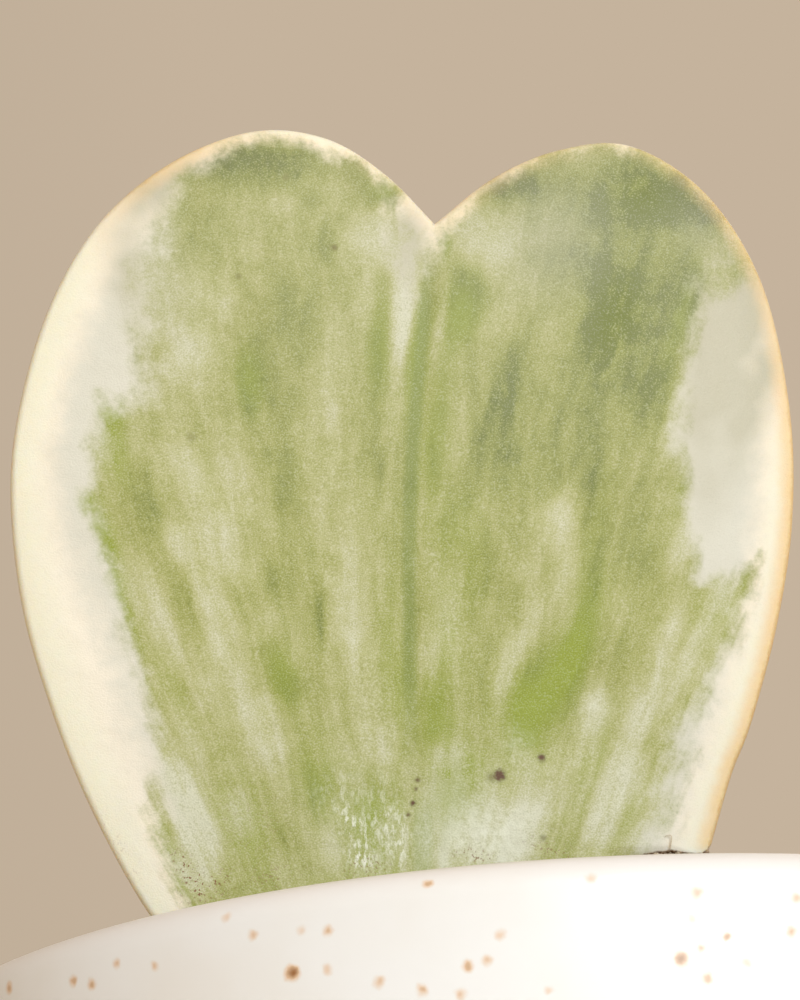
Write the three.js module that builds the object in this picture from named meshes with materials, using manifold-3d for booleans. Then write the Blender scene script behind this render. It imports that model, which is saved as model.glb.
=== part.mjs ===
// A potted hoya: one thick, heart-shaped, variegated leaf standing in a speckled white glazed pot.
// Millimetres, +Z up. The origin is on the pot's axis, in the plane that its foot stands on, and the
// broad face of the leaf looks towards -Y.
import * as THREE from 'three';
import { mergeVertices } from 'three/addons/utils/BufferGeometryUtils.js';
import Module from 'manifold-3d';

const { degToRad, lerp, radToDeg, smoothstep } = THREE.MathUtils;

// Pot
const potHeight = 100;
const rimRadius = 57; // outside of the wall, carried up to the rim's plane
const baseRadius = 49.5; // outside of the wall, carried down to the foot's plane
const wallThickness = 4.6;
const floorThickness = 5;
const footHeight = 2; // how far the foot ring lifts the underside
const footOuterRadius = 41;
const footWidth = 5;
const footEdgeRound = 0.8;
const bottomRound = 9; // outer edge between the wall and the underside
const innerRound = 6; // inner edge between the wall and the floor
const drainRadius = 5;
const potSegments = 72;

// Soil
const soilLevel = 88.5; // mean height of its top
const seatGap = 0.3; // clearance between pieces that touch
const reliefHeight = 1.1; // rise and fall of the top
const edgeDrop = 3; // how far the top rounds down where it meets the wall
const soilSegments = 60;
const soilRings = 10;
const crumbCount = 70;
const chipCount = 16;
const crumbSize = [1.5, 2.9]; // radius of a crumb, smallest and largest
const chipSize = [3.2, 4.6]; // half-length of a bark chip, shortest and longest
const stemClearing = 3.2; // bare soil between the petiole and the nearest crumb
const wallClearing = 0.5; // extra room between a crumb and the wall
const crumbSeed = 41;

// Leaf: its outline is in (u, v) in its own plane, u across and v up from the foot of the blade.
const leafSpot = [-14.58, 7.05, 101.2]; // where u = v = 0 stands in the pot
const leafYaw = degToRad(8); // face turned towards +X
const leafLean = degToRad(10); // top leaned towards -Y
const leafTilt = degToRad(4.06); // top tilted towards +X
const notch = [-0.1, 73.4];
const petioleStraight = -12.2; // v up to which the petiole's sides are straight
// Each half of the outline runs from the petiole to the notch in stretches. A stretch starts where
// the one before it ends, and its edge goes with the midrib up to midribTop. The right margin has a
// short tear, whose edges are blunt.
const leftStretches = [
  {
    midribTop: notch[1],
    torn: false,
    points: [
      [-2.2, -9.2], [-5.4, -5.2], [-11.6, -0.6], [-17.6, 4.2], [-22.8, 9.5], [-28.3, 18.4],
      [-32.4, 27.3], [-35.5, 36.6], [-37.0, 46.6], [-36.5, 55.0], [-34.3, 64.0], [-30.3, 71.8],
      [-24.2, 77.7], [-17.0, 81.1], [-10.4, 80.9], [-4.9, 77.9], notch,
    ],
  },
];
const rightStretches = [
  {
    midribTop: 10,
    torn: false,
    points: [[2.2, -9.2], [5.2, -5.6], [11.2, -1.4], [17.0, 3.2], [22.0, 8.6], [25.8, 15.1]],
  },
  { midribTop: 15, torn: true, points: [[23.4, 15.4], [20.6, 15.8], [18.2, 16.2]] },
  { midribTop: 21, torn: true, points: [[20.7, 16.8], [23.2, 17.3], [26.0, 17.2], [27.1, 18.2]] },
  {
    midribTop: notch[1],
    torn: false,
    points: [
      [28.8, 24.6], [30.5, 29.4], [32.7, 38.6], [33.9, 48.4], [33.4, 59.0], [30.6, 70.4],
      [25.2, 78.5], [18.0, 82.5], [11.2, 81.5], [5.1, 78.2], notch,
    ],
  },
];
const petioleRadius = 2.2;
const petioleFoot = -29; // v of the petiole's rounded end, down in the soil
const petioleTop = -9.2; // v where it starts to flare into the blade
const bladeStart = 8; // v where the blade has its full form
const marginHalf = 1.35; // half-thickness of the blade just inside its rounded margin
const bodyHalf = 1.85; // half-thickness in the middle of the blade
const marginRound = 2.2; // distance over which the margin rounds off
const plumpReach = 9; // distance from the margin over which the blade fattens
const tornBluntness = 3.5; // how many times shorter the rounding is along a torn edge
const halfWidth = 36;
const sideCurl = 1.8; // how far the sides stand back at the half-width
const topCurl = 2.2; // how far the lobes stand back at the top
const topCurlStart = 38;
const topCurlLength = 45;
const midribBow = 1.5; // sideways bow of the midrib, at its largest
const bowHeight = 48;
const bowReach = 22;
const grooveDepth = 0.45; // midrib groove in the face
const grooveWidth = 1.1;
const ribHeight = 1; // midrib ridge on the back, fading towards the notch
const ribWidth = 2.2;
const ribLength = 90;
const ribFadeAtMargin = 4;
const petioleEndRows = 3;
const petioleRows = 5;
const bladeRows = [[10, 14], [15, 4], [21, 5], [notch[1], 33]]; // [v on the midrib, rows up to it]
const marginSteps = 8; // close-set points along the outline between two rows
const leafColumns = 9;
const columnCrowding = 1.7; // above 1, columns crowd towards the margin

// Finishes
const glaze = new THREE.MeshStandardMaterial({ color: '#f6efe6', roughness: 0.3, metalness: 0 });
const pottingMix = new THREE.MeshStandardMaterial({ color: '#4a3a2d', roughness: 0.95, metalness: 0 });
const leafSkin = new THREE.MeshStandardMaterial({ color: '#b9ba86', roughness: 0.55, metalness: 0 });

const wasm = await Module();
wasm.setup();

// The same sequence of numbers between 0 and 1 for the same seed.
function seededRandom(seed) {
  let state = seed;
  return () => {
    state = (Math.imul(state, 1664525) + 1013904223) >>> 0;
    return state / 2 ** 32;
  };
}

function toSolid(geometry) {
  const bare = geometry.clone();
  bare.deleteAttribute('normal');
  bare.deleteAttribute('uv');
  const merged = mergeVertices(bare, 1e-4);
  return new wasm.Manifold(new wasm.Mesh({
    numProp: 3,
    vertProperties: new Float32Array(merged.attributes.position.array),
    triVerts: new Uint32Array(merged.index.array),
  }));
}

function fromSolid(solid) {
  const mesh = solid.getMesh();
  return indexedGeometry(mesh.vertProperties, mesh.triVerts);
}

function indexedGeometry(positions, index) {
  const geometry = new THREE.BufferGeometry();
  geometry.setAttribute('position', new THREE.Float32BufferAttribute(positions, 3));
  geometry.setIndex(Array.from(index));
  geometry.computeVertexNormals();
  return geometry;
}

function namedMesh(name, geometry, material) {
  const mesh = new THREE.Mesh(geometry, material);
  mesh.name = name;
  return mesh;
}

// Points on an arc about (x, y), from one angle to the other in degrees.
function arc(x, y, radius, fromDegrees, toDegrees, steps) {
  return Array.from({ length: steps + 1 }, (_, i) => {
    const angle = degToRad(lerp(fromDegrees, toDegrees, i / steps));
    return new THREE.Vector2(x + radius * Math.cos(angle), y + radius * Math.sin(angle));
  });
}

// The pot's wall is straight and leans outwards by this angle.
const wallLean = Math.atan((rimRadius - baseRadius) / potHeight);

// Radius of the wall at a height, moved inwards by a depth square to its face.
function wallRadius(height, depth) {
  return baseRadius + height * Math.tan(wallLean) - depth / Math.cos(wallLean);
}

// An arc that rounds the corner between a level floor and the wall, at a depth inside its face.
function cornerArc(floorHeight, depth, radius, steps) {
  const centreHeight = floorHeight + radius;
  const centreRadius = wallRadius(centreHeight, depth + radius);
  return arc(centreRadius, centreHeight, radius, -90, -radToDeg(wallLean), steps);
}

const innerFloor = footHeight + floorThickness;

// The pot is one turned profile: drain hole, foot ring, outer wall, rounded lip, inner wall, floor.
function makePot() {
  const lipRadius = wallThickness / 2;
  const lipHeight = potHeight - lipRadius;
  const leanDegrees = radToDeg(wallLean);
  const footInnerRadius = footOuterRadius - footWidth;
  const profile = [
    new THREE.Vector2(drainRadius, footHeight),
    new THREE.Vector2(footInnerRadius, footHeight),
    ...arc(footInnerRadius + footEdgeRound, footEdgeRound, footEdgeRound, 180, 270, 2),
    ...arc(footOuterRadius - footEdgeRound, footEdgeRound, footEdgeRound, 270, 360, 2),
    new THREE.Vector2(footOuterRadius, footHeight),
    ...cornerArc(footHeight, 0, bottomRound, 6),
    ...arc(wallRadius(lipHeight, lipRadius), lipHeight, lipRadius, -leanDegrees, 180 - leanDegrees, 8),
    ...cornerArc(innerFloor, wallThickness, innerRound, 4).reverse(),
    new THREE.Vector2(drainRadius, innerFloor),
    new THREE.Vector2(drainRadius, footHeight),
  ];
  const turned = new THREE.LatheGeometry(profile, potSegments);
  turned.rotateX(Math.PI / 2);
  return namedMesh('pot', fromSolid(toSolid(turned)), glaze);
}

// Height of the soil's top: three slow waves that cross each other.
function soilHeight(x, y) {
  const waves = Math.sin(x * 0.21 + 0.7) * Math.cos(y * 0.17 - 0.4)
    + 0.6 * Math.sin(x * 0.43 + y * 0.37)
    + 0.5 * Math.cos(y * 0.61 - x * 0.29 + 1.3);
  return soilLevel + (reliefHeight / 2) * waves;
}

// Rings of vertices from the middle of the top, over its edge and down the wall, to the underside.
function makeSoilBlock() {
  const depth = wallThickness + seatGap;
  const topRadius = wallRadius(soilLevel, depth) - 2 * seatGap;
  const shoulder = soilLevel - edgeDrop;
  const bottom = innerFloor + seatGap;
  const topRings = Array.from({ length: soilRings }, (_, i) => ({
    radius: (topRadius * (i + 1)) / soilRings,
  }));
  const sideRings = [
    { radius: wallRadius(shoulder, depth), height: shoulder },
    ...cornerArc(bottom, depth, innerRound, 4).reverse().map(({ x, y }) => ({ radius: x, height: y })),
  ];
  const rings = [...topRings, ...sideRings];

  const positions = [0, 0, soilHeight(0, 0)];
  rings.forEach(({ radius, height }) => {
    for (let i = 0; i < soilSegments; i += 1) {
      const angle = (2 * Math.PI * i) / soilSegments;
      const x = radius * Math.cos(angle);
      const y = radius * Math.sin(angle);
      positions.push(x, y, height ?? soilHeight(x, y));
    }
  });
  positions.push(0, 0, bottom);

  const index = [];
  const bottomCentre = 1 + rings.length * soilSegments;
  const lastRing = bottomCentre - soilSegments;
  for (let i = 0; i < soilSegments; i += 1) {
    const next = (i + 1) % soilSegments;
    index.push(0, 1 + i, 1 + next);
    for (let inner = 1; inner < lastRing; inner += soilSegments) {
      const outer = inner + soilSegments;
      index.push(inner + i, outer + i, outer + next);
      index.push(inner + i, outer + next, inner + next);
    }
    index.push(bottomCentre, lastRing + next, lastRing + i);
  }
  return indexedGeometry(positions, index);
}

// Crumbs are squashed twenty-sided lumps and bark chips are long flat ones. Each is turned at
// random, kept inside the wall and off the petiole, and sunk to its middle in the soil.
function makeCrumbs(stemAt) {
  const random = seededRandom(crumbSeed);
  const between = ([low, high]) => lerp(low, high, random());
  const crumbs = [];
  while (crumbs.length < crumbCount + chipCount) {
    const isChip = crumbs.length >= crumbCount;
    const size = between(isChip ? chipSize : crumbSize);
    const reach = wallRadius(soilLevel, wallThickness + seatGap) - size - wallClearing;
    const radius = reach * Math.sqrt(random());
    const angle = 2 * Math.PI * random();
    const spot = new THREE.Vector3(radius * Math.cos(angle), radius * Math.sin(angle), 0);
    const turn = new THREE.Euler(between([-0.25, 0.25]), between([-0.25, 0.25]), between([0, 2 * Math.PI]));
    const stretch = isChip ? [1, 0.5, 0.3] : [1, between([0.7, 1]), between([0.6, 0.85])];
    if (Math.hypot(spot.x - stemAt.x, spot.y - stemAt.y) > petioleRadius + stemClearing + size) {
      spot.z = soilHeight(spot.x, spot.y) + 0.1 * size;
      const lump = new THREE.IcosahedronGeometry(size, 0);
      lump.scale(...stretch);
      lump.applyMatrix4(new THREE.Matrix4().makeRotationFromEuler(turn).setPosition(spot));
      crumbs.push(toSolid(lump));
    }
  }
  return crumbs;
}

// The soil with its crumbs, less the plain hole that the petiole stands in.
function makeSoil(leafMatrix) {
  const holeRadius = petioleRadius + seatGap + 0.1;
  const holeFoot = petioleFoot - 2 * seatGap;
  const hole = new THREE.CylinderGeometry(holeRadius, holeRadius, -holeFoot, 20);
  hole.rotateX(Math.PI / 2);
  hole.translate(0, 0, holeFoot / 2);
  hole.applyMatrix4(leafMatrix);
  const stemAt = new THREE.Vector3(0, 0, soilLevel - leafSpot[2]).applyMatrix4(leafMatrix);
  const whole = wasm.Manifold.union([toSolid(makeSoilBlock()), ...makeCrumbs(stemAt)]);
  return namedMesh('soil', fromSolid(whole.subtract(toSolid(hole))), pottingMix);
}

// Sideways place of the midrib at height v.
function midribAt(v) {
  return -midribBow * Math.exp(-(((v - bowHeight) / bowReach) ** 2)) * smoothstep(v, petioleTop, 20);
}

// The point where the row from height v on the midrib meets one half's outline, and whether the
// edge is torn there. side is -1 for the left half.
function edgeAt({ side, stretches }, v) {
  if (v <= petioleStraight) {
    const rise = Math.min(v - petioleFoot, petioleRadius) / petioleRadius;
    return { u: side * petioleRadius * Math.sqrt(1 - (1 - rise) ** 2), v, torn: false };
  }
  let start = [side * petioleRadius, petioleStraight];
  let midribFoot = petioleStraight;
  for (const { midribTop, torn, points } of stretches) {
    if (v <= midribTop) {
      const corners = [start, ...points].map(([x, y]) => new THREE.Vector3(x, y, 0));
      const curve = new THREE.CatmullRomCurve3(corners, false, 'catmullrom', 0.5);
      const point = curve.getPointAt((v - midribFoot) / (midribTop - midribFoot));
      return { u: point.x, v: point.y, torn };
    }
    start = points[points.length - 1];
    midribFoot = midribTop;
  }
  throw new Error(`no outline at v = ${v}`);
}

// Heights on the midrib from which the rows start, petiole first. The notch has no row of its own.
function midribHeights() {
  const heights = [];
  for (let i = 1; i <= petioleEndRows; i += 1) {
    heights.push(petioleFoot + petioleRadius * (1 - Math.cos(((Math.PI / 2) * i) / petioleEndRows)));
  }
  let foot = petioleFoot + petioleRadius;
  [[petioleStraight, petioleRows], ...bladeRows].forEach(([top, count]) => {
    for (let i = 1; i <= count; i += 1) {
      heights.push(lerp(foot, top, i / count));
    }
    foot = top;
  });
  return heights.slice(0, -1);
}

// Close-set points along the whole outline, with how blunt the edge is there. They include every
// row's own edge point, where the distance to the margin is nothing.
function marginPoints(halves, heights) {
  const stops = [petioleFoot, ...heights, notch[1]];
  const fine = stops.slice(1).flatMap((stop, i) => Array.from(
    { length: marginSteps }, (_, j) => lerp(stops[i], stop, (j + 1) / marginSteps),
  ));
  const edges = halves.flatMap((half) => fine.map((v) => edgeAt(half, Math.min(v, notch[1]))));
  return [{ u: 0, v: petioleFoot, torn: false }, ...edges];
}

// How far the middle of the blade's thickness stands out of the leaf's plane, towards the face.
function camber(u, v) {
  const top = Math.max(0, v - topCurlStart) / topCurlLength;
  return -sideCurl * (u / halfWidth) ** 2 - topCurl * top ** 2;
}

// Half-thickness at a distance from the margin: a rounded edge, then slowly fatter to the middle.
// The petiole is as thick as it is wide.
function halfThickness(distance, v) {
  const round = Math.sqrt(1 - (1 - Math.min(distance / marginRound, 1)) ** 2);
  const plump = lerp(bodyHalf, marginHalf, Math.exp(-distance / plumpReach));
  const bladeShare = smoothstep(v, petioleStraight - 1, bladeStart);
  return round * lerp(petioleRadius, plump, bladeShare);
}

// Where the face and the back stand at (u, v), square to the leaf's plane.
function leafFaces(u, v, distance) {
  const middle = camber(u, v);
  const half = halfThickness(distance, v);
  const across = u - midribAt(v);
  const inBlade = smoothstep(v, petioleTop, bladeStart) * Math.min(distance / ribFadeAtMargin, 1);
  const groove = grooveDepth * inBlade * Math.exp(-((across / grooveWidth) ** 2));
  const rib = ribHeight * inBlade * (1 - v / ribLength) * Math.exp(-((across / ribWidth) ** 2));
  return { face: middle + half - groove, back: middle - half - rib };
}

// One leaf, blade and petiole together. Every row has a face side and a back side, which share
// their vertex on the outline, and the two halves share the midrib's vertices.
function makeLeaf() {
  const halves = [{ side: -1, stretches: leftStretches }, { side: 1, stretches: rightStretches }];
  const heights = midribHeights();
  const margin = marginPoints(halves, heights);
  const positions = [];
  const addVertex = (u, v, facing) => {
    const distance = margin.reduce((least, edge) => {
      const blunt = edge.torn ? tornBluntness : 1;
      return Math.min(least, blunt * Math.hypot(u - edge.u, v - edge.v));
    }, Infinity);
    positions.push(u, -leafFaces(u, v, distance)[facing], v);
    return positions.length / 3 - 1;
  };

  const footVertex = addVertex(0, petioleFoot, 'face');
  const notchVertex = addVertex(...notch, 'face');
  const addMidrib = (facing) => heights.map((v) => addVertex(midribAt(v), v, facing));
  const midrib = { face: addMidrib('face'), back: addMidrib('back') };

  const index = [];
  halves.forEach((half) => {
    const edges = heights.map((v) => edgeAt(half, v));
    const edgeVertices = edges.map(({ u, v }) => addVertex(u, v, 'face'));
    ['face', 'back'].forEach((facing) => {
      const grid = edges.map((edge, i) => {
        const between = Array.from({ length: leafColumns - 1 }, (_, j) => {
          const share = 1 - (1 - (j + 1) / leafColumns) ** columnCrowding;
          const u = lerp(midribAt(heights[i]), edge.u, share);
          return addVertex(u, lerp(heights[i], edge.v, share), facing);
        });
        return [midrib[facing][i], ...between, edgeVertices[i]];
      });
      const facesOut = (half.side === 1) === (facing === 'face');
      const addTriangle = (a, b, c) => index.push(...(facesOut ? [a, b, c] : [a, c, b]));
      const lastRow = grid[grid.length - 1];
      for (let j = 0; j < leafColumns; j += 1) {
        addTriangle(footVertex, grid[0][j + 1], grid[0][j]);
        addTriangle(notchVertex, lastRow[j], lastRow[j + 1]);
        for (let i = 0; i < grid.length - 1; i += 1) {
          addTriangle(grid[i][j], grid[i][j + 1], grid[i + 1][j + 1]);
          addTriangle(grid[i][j], grid[i + 1][j + 1], grid[i + 1][j]);
        }
      }
    });
  });
  return namedMesh('leaf', indexedGeometry(positions, index), leafSkin);
}

const leafPlace = new THREE.Group();
leafPlace.position.set(...leafSpot);
leafPlace.rotation.set(leafLean, leafTilt, leafYaw, 'ZXY');
leafPlace.add(makeLeaf());
leafPlace.updateMatrix();

const pottedHoya = new THREE.Group();
pottedHoya.add(makePot(), makeSoil(leafPlace.matrix), leafPlace);

export default pottedHoya;
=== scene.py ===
from functools import partial
from math import atan, cos, pi, radians, sin, tan

import bmesh
import bpy
import numpy as np
from mathutils import Matrix, Vector


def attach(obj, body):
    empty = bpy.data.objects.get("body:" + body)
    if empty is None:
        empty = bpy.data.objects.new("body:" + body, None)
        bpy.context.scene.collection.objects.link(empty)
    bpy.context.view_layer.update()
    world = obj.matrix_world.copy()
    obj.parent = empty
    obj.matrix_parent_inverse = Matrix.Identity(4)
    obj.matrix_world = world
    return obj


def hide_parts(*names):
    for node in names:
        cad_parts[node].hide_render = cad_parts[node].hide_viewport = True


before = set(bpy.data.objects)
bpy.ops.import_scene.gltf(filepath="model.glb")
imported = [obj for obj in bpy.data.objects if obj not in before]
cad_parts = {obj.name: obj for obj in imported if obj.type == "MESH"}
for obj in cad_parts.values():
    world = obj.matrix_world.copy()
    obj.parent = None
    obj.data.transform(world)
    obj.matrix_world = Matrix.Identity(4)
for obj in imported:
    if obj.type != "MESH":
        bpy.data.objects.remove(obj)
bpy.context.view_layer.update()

mm = 0.001  # shapes are worked out in millimetres and stored in metres
print("frame loaded:", ", ".join(sorted(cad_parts)))


# small helpers

def linear(hexColour):  # sRGB hex to linear RGBA
    parts = np.array([int(hexColour[i:i + 2], 16) / 255 for i in (1, 3, 5)])
    parts = np.where(parts <= 0.04045, parts / 12.92, ((parts + 0.055) / 1.055) ** 2.4)
    return (*[float(part) for part in parts], 1.0)


def addNode(tree, kind, *inputs, named=None, output=0, stops=None, **others):
    # Adds one shader node and gives back one of its outputs. A second word in its kind is its
    # operation, a capitalised keyword is an input and any other a setting. None changes nothing.
    kind, *operations = kind.split()
    node = tree.nodes.new("ShaderNode" + kind)
    for operation in operations:
        node.operation = operation
    for name in [name for name in others if name.islower()]:
        setattr(node, name, others.pop(name))
    for key, value in [*enumerate(inputs), *(named or {}).items(), *others.items()]:
        if isinstance(value, bpy.types.NodeSocket):
            tree.links.new(value, node.inputs[key])
        elif value is not None:
            node.inputs[key].default_value = value
    if stops:  # a colour ramp's (place, hex colour) pairs, lowest first
        elements = node.color_ramp.elements
        elements.remove(elements[-1])
        elements[0].position, elements[0].color = stops[0][0], linear(stops[0][1])
        for place, colour in stops[1:]:
            elements.new(place).color = linear(colour)
    return node.outputs[output] if node.outputs else node


def newMaterial(name):  # an empty material, and addNode for its tree
    material = bpy.data.materials.new(name)
    material.use_nodes = True
    material.node_tree.nodes.clear()
    return material, partial(addNode, material.node_tree)


def paintOver(add, colour, layers):  # lays each colour over the last by its share, lowest first
    for share, layer in layers:
        layer = linear(layer) if isinstance(layer, str) else layer
        colour = add("Mix", named={0: share, 6: colour, 7: layer}, output=2, data_type="RGBA")
    return colour


def addUp(add, start, textures):  # adds amount x (texture - 0.5) for each (texture, amount)
    for texture, amount in textures:
        start = add("Math", add("Math MULTIPLY_ADD", texture, amount, -amount / 2), start)
    return start


soft = {"interpolation_type": "SMOOTHSTEP"}  # eases a MapRange in and out


def maskedRange(add, mask, *values, **settings):  # a value mapped to a share, times a mask, 0 to 1
    return add("Math MULTIPLY", add("MapRange", *values, **settings), mask, use_clamp=True)


def inMillimetres(add):  # where on the object, in mm
    return add("VectorMath SCALE", add("TexCoord", output="Object"), Scale=1 / mm)


def makeSurface(add, named, **settings):
    add("OutputMaterial", Surface=add("BsdfPrincipled", named=named, **settings))


def meshPiece(name, points, faces, material, attributes=None):
    mesh = bpy.data.meshes.new(name)
    mesh.from_pydata((np.asarray(points) * mm).tolist(), [], faces)
    for key, values in (attributes or {}).items():
        values = np.asarray(values, dtype=np.float32)
        isVector = values.ndim == 2
        layer = mesh.attributes.new(key, "FLOAT_VECTOR" if isVector else "FLOAT", "POINT")
        layer.data.foreach_set("vector" if isVector else "value", values.ravel())
    mesh.shade_smooth()
    mesh.materials.append(material)
    mesh.validate()
    piece = bpy.data.objects.new(name, mesh)
    bpy.context.scene.collection.objects.link(piece)
    return piece


def tubeFaces(rows, columns, flip=False):
    # rings of points joined by quads, and closed at both ends by fans about two points after them
    index = np.arange(rows * columns).reshape(rows, columns)
    turned = np.roll(index, -1, axis=1)
    tip = np.full(columns, rows * columns)
    faces = []
    for corners in ([index[:-1], turned[:-1], turned[1:], index[1:]],
                    [tip, turned[0], index[0]], [tip + 1, index[-1], turned[-1]]):
        corners = [corners[0], *corners[:0:-1]] if flip else corners
        faces += np.stack(corners, -1).reshape(-1, len(corners)).tolist()
    return faces


def seededRandom(seed):  # the same numbers between 0 and 1 for the same seed
    state = seed
    while True:
        state = (state * 1664525 + 1013904223) % 2 ** 32
        yield state / 2 ** 32


def smoothstep(value, low, high):
    share = np.clip((np.asarray(value, float) - low) / (high - low), 0, 1)
    return share * share * (3 - 2 * share)


def valueNoise(x, y, size, seed):
    # random heights on a square lattice of that size, blended smoothly between the four corners
    cells = 64  # before it repeats
    table = np.random.default_rng(seed).random((cells, cells)) * 2 - 1
    x, y = x / size, y / size
    column, row = np.floor(x).astype(int), np.floor(y).astype(int)
    alongX, alongY = smoothstep(x - column, 0, 1), smoothstep(y - row, 0, 1)
    corner = [[table[(row + j) % cells, (column + i) % cells] for i in (0, 1)] for j in (0, 1)]
    low = corner[0][0] * (1 - alongX) + corner[0][1] * alongX
    high = corner[1][0] * (1 - alongX) + corner[1][1] * alongX
    return low * (1 - alongY) + high * alongY


# camera: below the rim and looking up, fitted to the rim's edge as it was measured in the photo

camera = {
    "place": (-12.3, -340.0, 24.5),  # mm
    "pitch": 20.03,  # degrees above level
    "roll": -3.0,
    "focal": 4022.0,  # pixels, in a frame 1000 pixels tall
    "wide": 800.0,
    "tall": 1000.0,
    "sensor": 36.0,
}


def cameraAxes():  # right, up and forward, as unit vectors
    pitch, roll = radians(camera["pitch"]), radians(camera["roll"])
    forward = Vector((0, cos(pitch), sin(pitch)))
    level = Vector((1, 0, 0))
    upright = level.cross(forward)
    right = level * cos(roll) + upright * sin(roll)
    return right, upright * cos(roll) - level * sin(roll), forward


def makeCamera():
    data = bpy.data.cameras.new("camera")
    data.sensor_width = camera["sensor"]
    data.lens = camera["focal"] / camera["tall"] * camera["sensor"]
    right, up, forward = cameraAxes()
    turn = Matrix((right, up, -forward)).transposed().to_4x4()
    item = bpy.data.objects.new("camera", data)
    item.matrix_world = Matrix.Translation(Vector(camera["place"]) * mm) @ turn
    data.clip_start = 0.01
    bpy.context.scene.collection.objects.link(item)
    bpy.context.scene.camera = item


makeCamera()
print("camera placed")


# pot: stoneware, turned, dipped in a warm white satin glaze through which iron spots bleed

pot = {
    "height": 100.0,
    "rimRadius": 57.0,  # outside of the wall, carried up to the rim's plane
    "baseRadius": 49.5,  # outside of the wall, carried down to the foot's plane
    "wall": 4.6,
    "floor": 5.0,
    "footHeight": 2.0,
    "footOuter": 41.0,
    "footWidth": 5.0,
    "footRound": 0.8,
    "bottomRound": 9.0,
    "innerRound": 6.0,
    "drain": 5.0,
    "segments": 288,
    "waver": 0.06,  # mm, how far the thrown wall wanders from true
}

wallLean = atan((pot["rimRadius"] - pot["baseRadius"]) / pot["height"])


def wallRadius(height, depth):  # radius of the straight wall at a height, at a depth inside its face
    return pot["baseRadius"] + height * tan(wallLean) - depth / cos(wallLean)


def arc(centre, radius, fromAngle, toAngle, steps):
    angle = np.radians(np.linspace(fromAngle, toAngle, steps + 1))
    return np.stack([centre[0] + radius * np.cos(angle), centre[1] + radius * np.sin(angle)], 1)


def straight(start, end, steps):  # points between two corners, without the corners themselves
    share = np.linspace(0, 1, steps + 2)[1:-1, None]
    return np.asarray(start) * (1 - share) + np.asarray(end) * share


def cornerArc(floorHeight, depth, radius, steps):  # rounds a level floor into the wall
    middle = floorHeight + radius
    return arc((wallRadius(middle, depth + radius), middle), radius, -90, -np.degrees(wallLean), steps)


def potProfile():
    # the closed section: underside, foot ring, outer wall, lip, inner wall, floor, drain hole
    lean = np.degrees(wallLean)
    lip = pot["wall"] / 2
    lipHeight = pot["height"] - lip
    footInner = pot["footOuter"] - pot["footWidth"]
    foot, edge = pot["footHeight"], pot["footRound"]
    floorHeight = foot + pot["floor"]
    bottom = cornerArc(foot, 0, pot["bottomRound"], 24)
    lipArc = arc((wallRadius(lipHeight, lip), lipHeight), lip, -lean, 180 - lean, 32)
    inner = cornerArc(floorHeight, pot["wall"], pot["innerRound"], 12)[::-1]
    return np.vstack([
        arc((pot["drain"] + 0.5, foot + 0.5), 0.5, 180, 270, 4),
        straight((pot["drain"] + 0.5, foot), (footInner, foot), 6),
        [(footInner, foot)],
        arc((footInner + edge, edge), edge, 180, 270, 6),
        arc((pot["footOuter"] - edge, edge), edge, 270, 360, 6),
        [(pot["footOuter"], foot)],
        bottom,
        straight(bottom[-1], lipArc[0], 44),
        lipArc,
        straight(lipArc[-1], inner[0], 30),
        inner,
        straight(inner[-1], (pot["drain"] + 0.5, floorHeight), 6),
        arc((pot["drain"] + 0.5, floorHeight - 0.5), 0.5, 90, 180, 4),
    ])


def makePot(material):
    # the section carried round the axis, its radius wavering a little as a thrown wall does
    profile = potProfile()
    angle = np.linspace(0, 2 * pi, pot["segments"], endpoint=False)
    radius, height = profile[:, 0][:, None], profile[:, 1][:, None]
    ripple = np.sin(2 * angle + 0.6) + 0.5 * np.sin(3 * angle + height / 30) + 0.35 * np.sin(height / 3.1)
    inWall = smoothstep(height, 12, 30) * smoothstep(radius, 40, 48)
    radius = radius + pot["waver"] * inWall * ripple
    points = np.stack([radius * np.cos(angle), radius * np.sin(angle), height + 0 * angle], -1)
    here = np.arange(points[..., 0].size).reshape(points.shape[:2])
    beside = np.roll(here, -1, axis=1)
    faces = np.stack([here, beside, np.roll(beside, -1, axis=0), np.roll(here, -1, axis=0)], -1)
    piece = meshPiece("glazedPot", points.reshape(-1, 3), faces.reshape(-1, 4).tolist(), material)
    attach(piece, "root")
    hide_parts("pot")


# Iron spots on the part of the wall that the photo shows, read one by one: pixels across and down in the
# photo, diameter in mm, and how dark, 0 to 1.
seenSpots = [
    (292, 973, 1.15, 0.95), (427, 881, 0.8, 0.7), (681, 959, 1.1, 0.75), (697, 892, 1.1, 0.45),
    (727, 936, 0.8, 0.6), (702, 948, 0.7, 0.45), (708, 978, 0.9, 0.5), (591, 878, 0.8, 0.35),
    (253, 935, 0.85, 0.4), (328, 931, 0.9, 0.45), (226, 917, 0.8, 0.3), (301, 931, 0.8, 0.25),
    (327, 969, 0.8, 0.35), (379, 982, 0.9, 0.4), (468, 966, 0.9, 0.55), (487, 960, 0.8, 0.4),
    (422, 990, 0.9, 0.45), (461, 994, 0.9, 0.4), (500, 934, 0.8, 0.35), (548, 991, 0.7, 0.3),
    (117, 964, 0.8, 0.4), (155, 966, 0.7, 0.4), (74, 981, 0.9, 0.5), (92, 985, 0.9, 0.55),
    (10, 988, 0.9, 0.5), (792, 932, 0.8, 0.5), (797, 898, 0.9, 0.4), (746, 962, 0.8, 0.35),
    (692, 918, 0.7, 0.3),
]


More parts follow.
